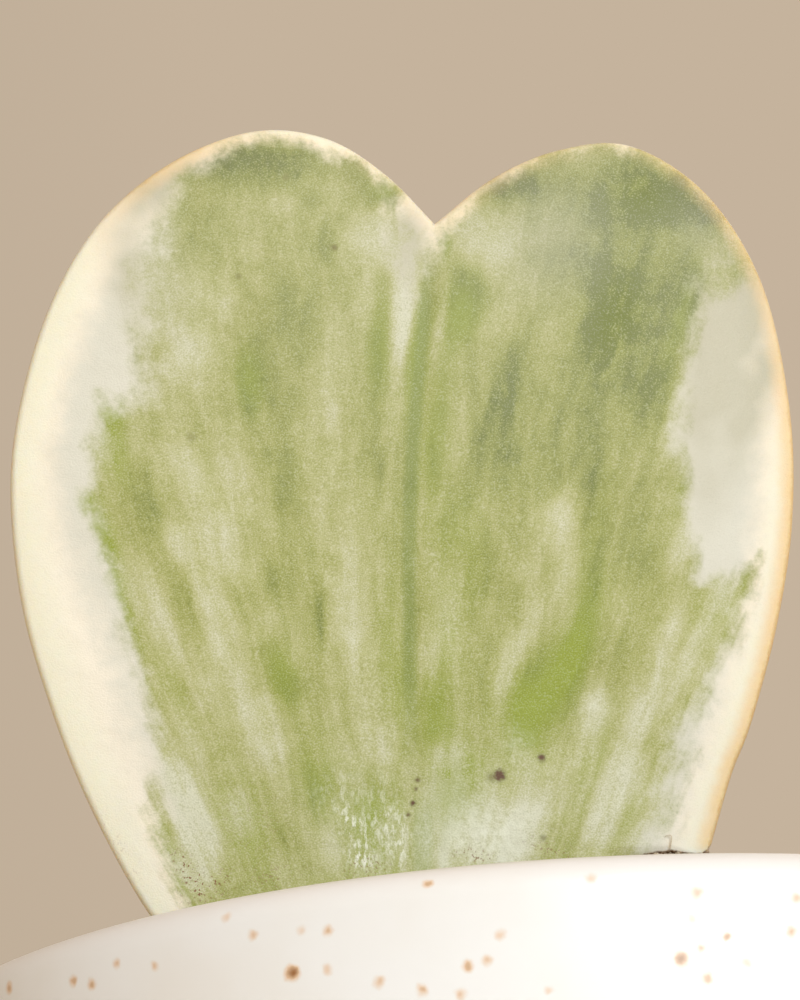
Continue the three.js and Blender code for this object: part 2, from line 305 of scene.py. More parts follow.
def onWall(across, down):
    # where the line of sight through a pixel meets the wall's cone: the nearer root of a quadratic
    right, up, forward = (np.array(axis) for axis in cameraAxes())
    sight = (forward * camera["focal"] + right * (across - camera["wide"] / 2)
             + up * (camera["tall"] / 2 - down))
    sight /= np.linalg.norm(sight)
    start, lean = np.array(camera["place"]), tan(wallLean)
    reach, slope = wallRadius(start[2], 0), lean * sight[2]
    a = sight[0] ** 2 + sight[1] ** 2 - slope ** 2
    b = start[0] * sight[0] + start[1] * sight[1] - reach * slope
    c = start[0] ** 2 + start[1] ** 2 - reach ** 2
    return start + sight * (-b - (b * b - a * c) ** 0.5) / a


glaze = {
    "white": "#f8f1e6",
    "thick": "#fbf6ee",  # where the glaze ran thicker
    "spotCore": "#a26c3c",
    "spotHalo": "#ecc8a2",
    "clay": "#c8ad8c",  # bare stoneware under the foot
    "clayDark": "#a98c6b",
    "ior": 1.5,
    "roughness": 0.36,
    "spotSpacing": 4.2,  # mm between iron spots
    "seenDown": 14.0,  # mm below the rim to which the front's spots are the seen ones
    "paintedLipShade": "#f1e3d7",  # painted shade: the top of the rounded lip, warmer and darker
}


def makeGlaze():
    # Glazed stoneware: a satin surface with soft-edged rust-brown spots, and painted shade, warmer and
    # darker, on the top of the lip.
    material, add = newMaterial("glazedStoneware")
    inMm = inMillimetres(add)
    axes = add("SeparateXYZ", inMm).node
    height = axes.outputs["Z"]

    # The spots' edges wander a little, as iron does when it bleeds into the glaze.
    wander = add("TexNoise", inMm, Scale=1.1, Detail=2.0, output="Color")
    wander = add("VectorMath SUBTRACT", wander, (0.5, 0.5, 0.5))
    wander = add("VectorMath SCALE", wander, Scale=0.55)
    bled = add("VectorMath ADD", inMm, wander)

    # Spots all round: one in most cells of a lattice, of random size, few of them large.
    spacing = glaze["spotSpacing"]
    cells = add("TexVoronoi", bled, Scale=1 / spacing, Randomness=1.0).node
    fate = add("SeparateColor", cells.outputs["Color"]).node
    size = add("Math POWER", fate.outputs["Red"], 3.0)
    size = add("Math MULTIPLY_ADD", size, 0.85, 0.26)
    away = add("Math DIVIDE", add("Math MULTIPLY", cells.outputs["Distance"], spacing), size)
    spots = add("MapRange", away, 0.1, 1.2, 1.0, 0.0, **soft)
    kept = add("Math GREATER_THAN", fate.outputs["Green"], 0.25)
    depth = add("Math MULTIPLY_ADD", fate.outputs["Blue"], 0.6, 0.3)
    spots = add("Math MULTIPLY", add("Math MULTIPLY", spots, kept), depth)

    # None of those where the seen spots are: the front of the wall, down from the rim.
    front = add("MapRange", axes.outputs["Y"], -30.0, -22.0)
    lowest = pot["height"] - glaze["seenDown"]
    below = add("MapRange", height, lowest - 1.5, lowest, 1.0, 0.0)
    spots = add("Math MULTIPLY", spots, add("Math MAXIMUM", front, below))
    for across, down, diameter, dark in seenSpots:
        gap = add("VectorMath DISTANCE", bled, tuple(onWall(across, down)), output="Value")
        spot = add("MapRange", gap, diameter * 0.05, diameter * 0.75, dark, 0.0, **soft)
        spots = add("Math MAXIMUM", spots, spot)

    cloud = add("TexNoise", inMm, Scale=0.07, Detail=3.0)
    thick = add("MapRange", cloud, 0.35, 0.65, **soft)
    # painted shade: the rounded top of the lip is painted warmer and darker towards the rim
    lip = add("MapRange", height, pot["height"] - 2.4, pot["height"] - 0.3, 0.0, 0.6)
    grit = add("TexNoise", inMm, Scale=2.2, Detail=3.0, Roughness=0.6)
    clay = add("ValToRGB", grit, stops=[(0.3, glaze["clay"]), (0.7, glaze["clayDark"])])
    bare = add("MapRange", height, 1.1, 1.5, 1.0, 0.0)
    colour = paintOver(add, linear(glaze["white"]), [
        (thick, glaze["thick"]),
        (lip, glaze["paintedLipShade"]),
        (add("MapRange", spots, 0.0, 0.45), glaze["spotHalo"]),
        (add("MapRange", spots, 0.35, 0.95), glaze["spotCore"]),
        (bare, clay),
    ])
    cloudy = add("TexNoise", inMm, Scale=0.5, Detail=3.0)
    roughness = add("Math MULTIPLY_ADD", cloudy, 0.1, glaze["roughness"] - 0.05)
    roughness = add("Math MULTIPLY_ADD", bare, 0.4, roughness)
    ripple = add("TexNoise", inMm, Scale=1.6, Detail=2.0)
    dimple = add("Bump", Height=ripple, Strength=0.12, Distance=0.05 * mm)
    makeSurface(add, {"Base Color": colour, "Roughness": roughness, "IOR": glaze["ior"], "Normal": dimple})
    return material


makePot(makeGlaze())
print("pot turned and glazed")


# leaf: one thick, waxy hoya leaf, blade and petiole grown as one

leaf = {
    "spot": (-14.58, 7.05, 101.2),  # mm, where u = v = 0 stands
    "yaw": 8.0,
    "lean": 10.0,
    "tilt": 4.06,
    "notch": (-0.1, 73.4),
    "petioleRadius": 2.2,
    "petioleFoot": -29.0,  # v, as are the next three
    "petioleStraight": -12.2,
    "petioleTop": -9.2,
    "bladeStart": 8.0,
    "marginHalf": 1.35,
    "bodyHalf": 1.85,
    "faceRound": 0.5,
    "backRound": 2.0,
    "edgeForward": 0.75,  # mm, how far the margin lies in front of the middle
    "plumpReach": 9.0,
    "tornBluntness": 7.0,  # a torn margin rounds off this many times as fast
    "halfWidth": 36.0,
    "sideCurl": 1.8,
    "topCurl": 2.2,
    "topCurlStart": 38.0,
    "topCurlLength": 45.0,
    "midribBow": 1.5,
    "bowHeight": 48.0,
    "bowReach": 22.0,
    "grooveDepth": 0.2,
    "grooveWidth": 1.1,
    "ribHeight": 1.0,
    "ribWidth": 2.2,
    "ribLength": 90.0,
    "ribFade": 4.0,
    "endRows": 10,
    "petioleRows": 26,
    "bladeRows": [(10, 60), (15, 36), (21, 64), (73.4, 190)],  # (v on the midrib, rows up to it)
    "columns": 58,
    "crowding": 1.7,
    "swell": 0.12,  # mm, slow rise and fall of the skin
    "pucker": 0.025,  # mm, fine unevenness
    "ragged": 0.05,  # mm, unevenness of a torn edge
    "tornTip": 27.0,  # u to which that unevenness fades out
    "toneMost": 0.48,  # the washes of tone level off at this strength
}

# The outline in stretches, as (u, v) in mm: each goes with the midrib up to its first number, and is
# torn where the second says so. The corners follow the leaf's edge as it was measured in the photo.
leftStretches = [
    (73.4, False, [(-2.2, -9.2), (-5.4, -5.2), (-11.6, -0.6), (-17.6, 4.2), (-22.8, 9.5), (-28.3, 18.4),
                   (-32.4, 27.3), (-35.5, 36.6), (-37.0, 46.6), (-36.5, 55.0), (-34.3, 64.0),
                   (-30.3, 71.8), (-24.2, 77.7), (-17.0, 81.1), (-10.4, 80.9), (-4.9, 77.9),
                   (-0.1, 73.4)]),
]
rightStretches = [
    (10.0, False, [(2.2, -9.2), (5.2, -5.6), (11.2, -1.4), (17.0, 3.2), (22.0, 8.6), (25.8, 15.1)]),
    (15.0, True, [(23.4, 15.4), (20.6, 15.8), (18.2, 16.2)]),
    (21.0, True, [(20.7, 16.8), (23.2, 17.3), (26.0, 17.2), (27.1, 18.2)]),
    (73.4, False, [(28.8, 24.6), (30.5, 29.4), (32.7, 38.6), (33.9, 48.4), (33.4, 59.0), (30.6, 70.4),
                   (25.2, 78.5), (18.0, 82.5), (11.2, 81.5), (5.1, 78.2), (-0.1, 73.4)]),
]

# The green part's outline, as (u, v) in mm, read one by one. Outside it the leaf has no green.
greenOutline = [
    (-15, 3), (-20.4, 10.8), (-23.7, 18), (-22.9, 24), (-25, 31.4), (-27.8, 38.5), (-30.2, 45.8),
    (-30.4, 51.2), (-29.7, 55), (-28.2, 54), (-25.9, 54.6), (-25.4, 60.6), (-27, 66.5), (-25.6, 70.6),
    (-23.7, 76.2), (-19, 79.2), (-16, 80.7), (-13, 80.5), (-8, 79.2), (-3, 76.5), (-3.6, 73.8),
    (-3.4, 69.6), (-1.9, 65.6), (-0.6, 70.8), (1.2, 73.6), (4.6, 77.9), (9.5, 81.4), (15.5, 83),
    (20.6, 82.3), (23.5, 80.3), (28.2, 76.6), (30.2, 72.4), (27.2, 68.8), (24.3, 69.6), (24.2, 67.2),
    (23.6, 60), (22.6, 55), (23.2, 52), (24.4, 46.6), (25, 41.9), (26.6, 42.4), (28.4, 42), (31, 44.2),
    (29.2, 38.4), (26.8, 33.4), (24, 27), (22.2, 20.6), (20.8, 16.6), (15, 5), (6, -3.5), (2.4, -8.5),
    (2.4, -40), (-2.4, -40), (-2.4, -8.5), (-6, -3),
]

# Where the green fades out slowly: (u, v, reach across, reach along) in mm.
softPlaces = [
    (-26, 66, 4.5, 11), (27, 72.5, 5, 4.5), (-2.6, 71, 3, 4.5), (23.5, 24, 4, 10), (-21, 19, 2, 4),
]

# Washes of tone, as (u, v, half-width, half-length, strength) in mm, drawn out along the veins. They
# were read one by one and moved until the render agreed. Above zero is deeper green, below it paler.
greenWashes = [
    # left lobe, from its top down
    (-15.5, 77.8, 5, 2.4, 0.5), (-9, 77.8, 3, 1.2, 0.05), (-20.5, 77.6, 2, 1.4, 0.4),
    (-5, 75.6, 1.8, 1.4, 0.5), (-11.5, 74.8, 1.2, 1.2, 0.3), (-5, 71.5, 3, 2.5, -0.2),
    (-21, 71, 3, 4, 0.2), (-10, 70.5, 1, 2, 0.25), (-14, 66, 2.5, 6, 0.25), (-26.5, 66, 1.8, 6, -0.2),
    (-17.8, 63.5, 1.2, 3, -0.15), (-4.9, 62, 0.9, 5, 0.35), (-22, 59, 2.2, 4, -0.2),
    (-16.5, 57.5, 1.2, 3, 0.5), (-13.5, 56, 2, 6, 0.15), (-4.6, 53, 0.8, 6, 0.15),
    (-7.8, 53, 1.5, 7, -0.25), (-7.8, 51, 1, 3, 0.3), (-28.6, 51, 1, 2, -0.35), (-17, 49, 1.3, 3, -0.38),
    (-21.6, 48.5, 1.8, 3.5, -0.35), (-12.8, 48.5, 1.6, 4, 0.25), (-25.6, 45, 2.4, 3.4, 0.25),
    (-18.3, 43, 1.8, 3.5, -0.4), (-6.5, 42, 1.6, 6, -0.15), (-21.8, 41.5, 1.4, 3, -0.3),
    (-12.8, 39.5, 1.6, 3.5, 0.2), (-26.4, 38.6, 1.2, 3.4, -0.25), (-21.2, 37.5, 1.1, 3.2, 0.35),
    (-9, 36.5, 0.5, 4, 0.35), (-6.5, 36, 1.5, 6, -0.2), (-23, 34, 1.6, 5, -0.3),
    (-17.5, 33, 1.4, 5, -0.25), (-12.8, 31.8, 1, 2.2, 0.5), (-5, 31, 1.2, 6, -0.15),
    (-21.5, 30.5, 1, 3, 0.2), (-11.6, 29.8, 1, 1.6, 0.45), (-18.5, 29.4, 1.4, 3, -0.3),
    (-14.2, 26, 1.8, 3.6, -0.45), (-19.5, 24, 1.2, 4, -0.2), (-8.8, 23.5, 1.2, 2, -0.3),
    (-9, 22.5, 1.6, 3.5, 0.35), (-19.8, 18.8, 1.9, 4.2, -1), (-15.2, 18.4, 1.6, 2.2, -0.3),
    (-11.4, 16, 1.6, 2.5, 0.1), (-7.6, 15.8, 1.8, 2, -0.25), (-19.4, 13.8, 2, 2.4, -0.7),
    # beside the midrib, the same way
    (0.9, 71.5, 0.5, 1.2, 0.4), (2.6, 66, 1.6, 3.6, 0.45), (-2.7, 65, 1.1, 5, -0.7),
    (0.8, 64.5, 0.5, 3, -0.3), (-1.4, 61.5, 1, 4.5, 0.4), (0.6, 54, 0.9, 8, 0.2),
    (2.8, 53.5, 0.7, 3, -0.2), (-1.7, 50, 0.7, 9, 0.35), (3.4, 49, 1, 3, 0.2), (-1.3, 38, 0.6, 6, 0.2),
    (2.4, 37.5, 1, 4, -0.3), (0.4, 33, 1, 2, -0.25), (1.6, 28, 1.6, 3.4, 0.25),
    (-3.4, 24.8, 1.2, 2.5, -0.3), (2.4, 24.8, 1.2, 1.6, -0.35), (3.4, 21, 2.2, 3, -0.4),
    (1.1, 20.8, 1, 2.6, -0.3), (2.5, 16.4, 1.4, 2.4, -0.5), (-2.2, 16.4, 2.2, 3, -0.2),
    # right lobe, the same way
    (20.6, 81, 1.6, 1.2, -0.3), (6, 78, 2.8, 1.5, 0.75), (22, 78, 1.6, 2.2, 0.4), (18.6, 77.8, 3, 3.2, 1),
    (25.6, 77.2, 2.2, 2, 0.8), (12.5, 76.8, 4.5, 2.6, 0.35), (4.4, 71.8, 3.4, 3, -0.5),
    (11.3, 71, 2.4, 2.4, 0.2), (22.6, 68.4, 2.2, 5, 0.4), (15.2, 67.5, 0.9, 2.6, 0.3),
    (16.2, 67, 2.8, 6, 0.75), (10.4, 65.4, 2.4, 4.5, -0.05), (15.4, 62.8, 0.9, 1.8, 0.3),
    (19.4, 62.4, 1.8, 4, 0.35), (7.5, 61, 1, 2, 0.2), (14, 60, 9, 22, 0.14), (20.5, 59, 1.6, 5, 0.3),
    (6.6, 57, 1.3, 3.8, 0.6), (12, 55.5, 3, 6, 0.12), (5.4, 53.6, 1.4, 2.6, 0.3), (6.8, 51, 1.5, 3, 0.25),
    (15, 50, 0.9, 3.5, 0.3), (19.5, 49, 2.2, 4.5, 0.2), (5.6, 46.5, 1.2, 2.5, -0.2),
    (11.9, 46.5, 1.6, 3, -0.5), (23.2, 44.5, 1.2, 2.5, -0.35), (20.4, 43.4, 1.8, 3.4, 0.15),
    (5.5, 42, 1, 3, 0.15), (12.8, 41.5, 1.2, 3.5, -0.3), (10, 41, 1.4, 4, -0.3),
    (27.4, 41, 1.6, 2.4, -0.35), (8, 40, 5, 9, 0.12), (14.8, 38.5, 1, 5.5, 0.4), (9.8, 36, 1, 3, -0.35),
    (22.4, 36, 1.5, 2.6, -0.2), (4.6, 35.6, 0.7, 2, -0.2), (25.5, 35.5, 1.6, 3.5, -0.2),
    (14.5, 34.5, 1.2, 2.5, 0.3), (7.9, 32.4, 1, 3.4, -0.45), (23, 32, 1.6, 4, -0.15),
    (11, 30.5, 3, 3.6, 0.5), (20.2, 30, 2, 2.6, -0.35), (15.8, 29.6, 1.4, 2, -0.45),
    (9.8, 28.8, 1.4, 1.6, 0.25), (15.2, 26, 1, 2, -0.3), (9.2, 24.4, 1.4, 1.6, -0.35),
    (15.8, 24, 0.9, 5, 0.15), (18, 23.2, 2.4, 3.4, -0.45), (21.8, 22, 1.8, 4, -0.3),
    (12.5, 21, 1.8, 4, -0.25), (19.2, 20, 0.7, 2.4, 0.15), (16.8, 19, 1.8, 2.6, -0.35),
    (7.8, 18.2, 2.8, 4.2, -0.8), (20.5, 17.9, 1.6, 1.6, -0.3),
]

# Yellower, brighter green washes, placed the same way.
limeWashes = [
    (-16.4, 57.5, 1.4, 3, 0.8), (-4.8, 61.5, 1.2, 5, 0.7), (-4.6, 76.2, 1.6, 1.2, 0.8),
    (-29, 52, 1.5, 4, 1.8), (-28.6, 41, 1.4, 6, 2.6), (-28.8, 54, 1.4, 1.6, 1.6), (-21.4, 14, 1.2, 3, 1),
    (-12.2, 30.8, 1.4, 3, 0.75), (-15, 17, 2.4, 4.5, 0.4), (-22.2, 15, 1, 4, 0.9), (-8.5, 22, 2, 4, 0.6),
    (-3.2, 17.4, 2.6, 4, 1.6), (2.4, 18.6, 1.6, 3.6, 1), (-2.5, 32, 1.4, 8, 0.5), (0.2, 54, 1.8, 10, 0.6),
    (2.6, 65, 1.8, 3.4, 0.8), (-1.4, 61, 1, 5, 0.9), (0.9, 71.5, 0.7, 1.6, 0.8),
    (1.6, 28.6, 2.4, 4.6, 0.75), (3, 42, 2.5, 6, 0.5), (2.2, 35.6, 1.2, 3, 0.6), (9.8, 29.2, 3, 4, 1.1),
    (12.8, 33.4, 1.8, 3.6, 0.8), (14.6, 36.5, 1.5, 5, 0.8), (15.5, 46, 1.2, 6, 0.2),
    (27.5, 40.5, 2.2, 4.5, 0.7), (23.2, 50, 0.8, 3, 0.3), (19.2, 20, 1, 3, 0.4), (22.8, 66, 0.8, 5, 0.4),
    (4, 22, 2.6, 3.4, 2), (-15, 18, 2, 3, 0.6), (15.5, 24, 1.2, 5, 0.5), (9.5, 24.5, 2.5, 2.5, 0.4),
    (-22, 30, 1, 4, 0.3),
]

# A thin grey-green veil over the white, where the photo shows some green far down in the flesh.
veilWashes = [
    (26.6, 72.6, 3.6, 4.5, 1.6), (27.6, 74.6, 2, 2, 0.8), (27.6, 66, 3.8, 9, 1.3), (30.5, 60, 1.8, 5, 0.8),
    (26.8, 54, 3.5, 8, 0.7), (25, 60, 2, 5, 0.5), (-27.4, 66.5, 2.4, 5.5, 0.9), (-23, 77.4, 2.6, 1.8, 0.9),
    (-25.8, 74.4, 2.6, 2.6, 1.2), (-3, 70, 2.2, 5, 1.3), (-21.5, 19.5, 1.6, 4, 0.35),
    (22, 21.5, 1.6, 5, 0.25),
]

# Places where the bloom lies thicker or thinner, placed the same way.
bloomWashes = [
    (10.5, 72.5, 4.8, 5.5, 0.28), (24.6, 74.8, 2.4, 2.6, 0.18), (16.8, 66, 2.4, 4.5, -0.14),
    (19, 78, 2.6, 2.4, -0.14), (-25, 67, 3, 6, 0.15),
]

# Marks on the face, as (u, v, radius, strength) in mm: brown corky spots, and along the midrib pits whose
# shade is painted as dark brown spots.
corkSpotsAndPitShade = [
    (7.5, 23.1, 0.36, 1.0), (6.8, 22.9, 0.34, 0.5), (11.2, 24.9, 0.24, 0.9), (-21.3, 51.9, 0.3, 0.3),
    (-9.3, 70.3, 0.22, 0.55), (-13.9, 76.7, 0.22, 0.45), (-17.8, 67.0, 0.2, 0.4), (11.6, 17.8, 0.2, 0.5),
    (0.2, 22.3, 0.18, 0.9), (0.1, 21.5, 0.14, 0.9), (-0.1, 20.2, 0.18, 1.0), (-0.5, 19.2, 0.16, 0.8),
]

# Places where the skin is scuffed white, pale and scaly, or dusted with brown grit.
scuffWashes = [
    (-4.8, 16.6, 1.4, 2.2, 0.75), (-6.1, 18.6, 1, 1.6, 0.6), (-4.4, 15, 1.2, 0.9, 0.8),
    (-1.2, 16.6, 1, 2.4, 0.9), (-2.6, 18.4, 1.6, 2.4, 0.55), (-6.6, 21, 2.2, 2, 0.3),
    (-3.2, 21.5, 1.2, 1.5, 0.25), (1.4, 17, 1, 2.2, 0.3),
]
scaleWashes = [
    (7.4, 17.6, 3.2, 2.6, 0.9), (4, 17, 2, 2.4, 0.5), (15.8, 29.4, 1.4, 1.9, 0.45), (9, 26, 1.2, 1.4, 0.5),
    (-6, 19, 4, 4, 0.15),
]
gritWashes = [
    (-4, 14.4, 2, 0.9, 1), (-17.8, 11.9, 2.6, 1.1, 1.3), (-19.3, 13.2, 0.8, 1.4, 1.2),
    (5.6, 15.9, 2.2, 0.7, 0.9), (12.4, 16.9, 2.4, 0.7, 0.8), (-12, 12.8, 3, 1.2, 0.5),
    (-26, 15, 1.6, 5, 0.2), (-14, 18, 4, 4, 0.25), (-20, 13.5, 1, 2, 0.7),
]


def splinePoints(corners, share):
    # Catmull-Rom: a cubic between neighbours, whose slope at each corner is half the step from the
    # corner before it to the one after. The shares are of the length along it.
    corners = np.asarray(corners, float)
    ends = np.vstack([2 * corners[0] - corners[1], corners, 2 * corners[-1] - corners[-2]])

    def at(place):
        first = np.clip(np.floor(place).astype(int), 0, len(corners) - 2)
        t = (place - first)[:, None]
        p0, p1, p2, p3 = (ends[first + k] for k in range(4))
        return p1 + 0.5 * t * (p2 - p0 + t * (2 * p0 - 5 * p1 + 4 * p2 - p3 + t * (3 * (p1 - p2) + p3 - p0)))

    place = np.linspace(0, len(corners) - 1, 40 * len(corners))
    length = np.concatenate([[0], np.cumsum(np.linalg.norm(np.diff(at(place), axis=0), axis=1))])
    return at(np.interp(np.asarray(share) * length[-1], length, place))


def edgePoints(side, stretches, heights):
    # where the rows from those heights on the midrib meet one half's outline, and which are torn
    radius = leaf["petioleRadius"]
    rise = np.clip((heights - leaf["petioleFoot"]) / radius, 0, 1)
    points = np.stack([side * radius * np.sqrt(1 - (1 - rise) ** 2), heights], 1)
    torn = np.zeros(len(heights), bool)
    start, foot = (side * radius, leaf["petioleStraight"]), leaf["petioleStraight"]
    for top, isTorn, corners in stretches:
        here = (heights > foot) & (heights <= top + 1e-9)
        points[here] = splinePoints([start, *corners], (heights[here] - foot) / (top - foot))
        torn |= here & isTorn
        start, foot = corners[-1], top
    return points, torn


def rowHeights():  # heights on the midrib from which the rows start, petiole's foot first
    foot, radius = leaf["petioleFoot"], leaf["petioleRadius"]
    angle = np.linspace(0, pi / 2, leaf["endRows"] + 1)
    heights = [foot + radius * (1 - np.cos(angle))]
    foot += radius
    for top, count in [(leaf["petioleStraight"], leaf["petioleRows"]), *leaf["bladeRows"]]:
        heights.append(np.linspace(foot, top, count + 1)[1:])
        foot = top
    return np.concatenate(heights)


def distanceToLine(u, v, line):  # least distance to any of the line's segments
    least = np.full(u.shape, 1e9)
    for (startU, startV), (endU, endV) in zip(line[:-1], line[1:]):
        alongU, alongV = endU - startU, endV - startV
        share = ((u - startU) * alongU + (v - startV) * alongV) / max(alongU ** 2 + alongV ** 2, 1e-12)
        share = np.clip(share, 0, 1)
        least = np.minimum(least, np.hypot(u - startU - share * alongU, v - startV - share * alongV))
    return least


def depthInside(u, v, outline):  # distance to a closed outline, positive inside it
    closed = [*outline, outline[0]]
    inside = np.zeros(u.shape, bool)
    for (startU, startV), (endU, endV) in zip(closed[:-1], closed[1:]):
        if startV != endV:
            crossing = startU + (v - startV) * (endU - startU) / (endV - startV)
            inside ^= ((startV > v) != (endV > v)) & (u < crossing)
    return np.where(inside, 1, -1) * distanceToLine(u, v, closed)


def midribAt(v):
    bow = np.exp(-(((v - leaf["bowHeight"]) / leaf["bowReach"]) ** 2))
    return -leaf["midribBow"] * bow * smoothstep(v, leaf["petioleTop"], 20)


def flowAt(u, v):
    # streaks fan out from the blade's foot: across grows with the 0.75 power of the height, and
    # along is the distance from a point below the foot
    height = np.maximum(v + 11, 2)
    across = (u - midribAt(v)) / (height / 50) ** 0.75
    return across, np.hypot(u * 0.8, height)


def washStrength(u, v, washes):  # a sum of soft ellipses drawn out along the flow
    across, along = flowAt(u, v)
    total = np.zeros(u.shape)
    for washU, washV, halfWidth, halfLength, strength in washes:
        centreAcross, centreAlong = flowAt(np.array(washU), np.array(washV))
        spread = ((washV + 11) / 50) ** 0.75
        offAcross = (across - centreAcross) * spread / halfWidth
        offAlong = (along - centreAlong) / halfLength
        total += strength * np.exp(-((offAcross ** 2 + offAlong ** 2) ** 1.2))
    return total


def leafFaces(u, v, distance):
    # The face and the back stand half a thickness either side of a cambered middle. The thickness
    # rounds off at the margin, more at the back than on the face, and fattens slowly inwards; the face
    # has the midrib's groove and the back its ridge.
    top = np.maximum(v - leaf["topCurlStart"], 0) / leaf["topCurlLength"]
    middle = -leaf["sideCurl"] * (u / leaf["halfWidth"]) ** 2 - leaf["topCurl"] * top ** 2
    fade = np.exp(-distance / leaf["plumpReach"])
    plump = leaf["bodyHalf"] * (1 - fade) + leaf["marginHalf"] * fade
    inBlade = smoothstep(v, leaf["petioleStraight"] - 1, leaf["bladeStart"])
    stem = leaf["petioleRadius"] * (1 - inBlade)
    faceEdge, backEdge = (np.sqrt(1 - (1 - np.clip(distance / (stem + leaf[key] * inBlade), 0, 1)) ** 2)
                          for key in ("faceRound", "backRound"))
    half, forward = stem + plump * inBlade, leaf["edgeForward"] * inBlade
    across = u - midribAt(v)
    share = smoothstep(v, leaf["petioleTop"], leaf["bladeStart"]) * np.clip(distance / leaf["ribFade"], 0, 1)
    groove = leaf["grooveDepth"] * share * np.exp(-((across / leaf["grooveWidth"]) ** 2))
    ridge = leaf["ribHeight"] * share * (1 - v / leaf["ribLength"])
    rib = ridge * np.exp(-((across / leaf["ribWidth"]) ** 2))
    inner = np.clip(distance / 3, 0, 1)
    slow = valueNoise(u + 90, v + 90, 9.0, 5) + 0.5 * valueNoise(u + 90, v + 90, 4.2, 6)
    fine = valueNoise(u + 90, v + 90, 1.3, 7) + 0.7 * valueNoise(u + 90, v + 90, 0.7, 8)
    swell = inner * (leaf["swell"] * slow + leaf["pucker"] * fine)
    face = middle + forward + faceEdge * (half - forward) - groove + swell
    return face, middle + forward - backEdge * (half + forward) - rib + 0.5 * swell


def faceAt(u, v):  # how far the face stands out, well inside the blade
    return float(leafFaces(np.array([u]), np.array([v]), np.array([10.0]))[0][0])


def leafTurn():
    turn = (Matrix.Rotation(radians(leaf["yaw"]), 3, "Z") @ Matrix.Rotation(radians(leaf["lean"]), 3, "X")
            @ Matrix.Rotation(radians(leaf["tilt"]), 3, "Y"))
    return np.array(turn)


def leafToWorld(u, v, out):  # out is towards the face, which looks along -Y before it is turned
    local = np.stack([u, -out, v], -1)
    return local @ leafTurn().T + np.array(leaf["spot"])


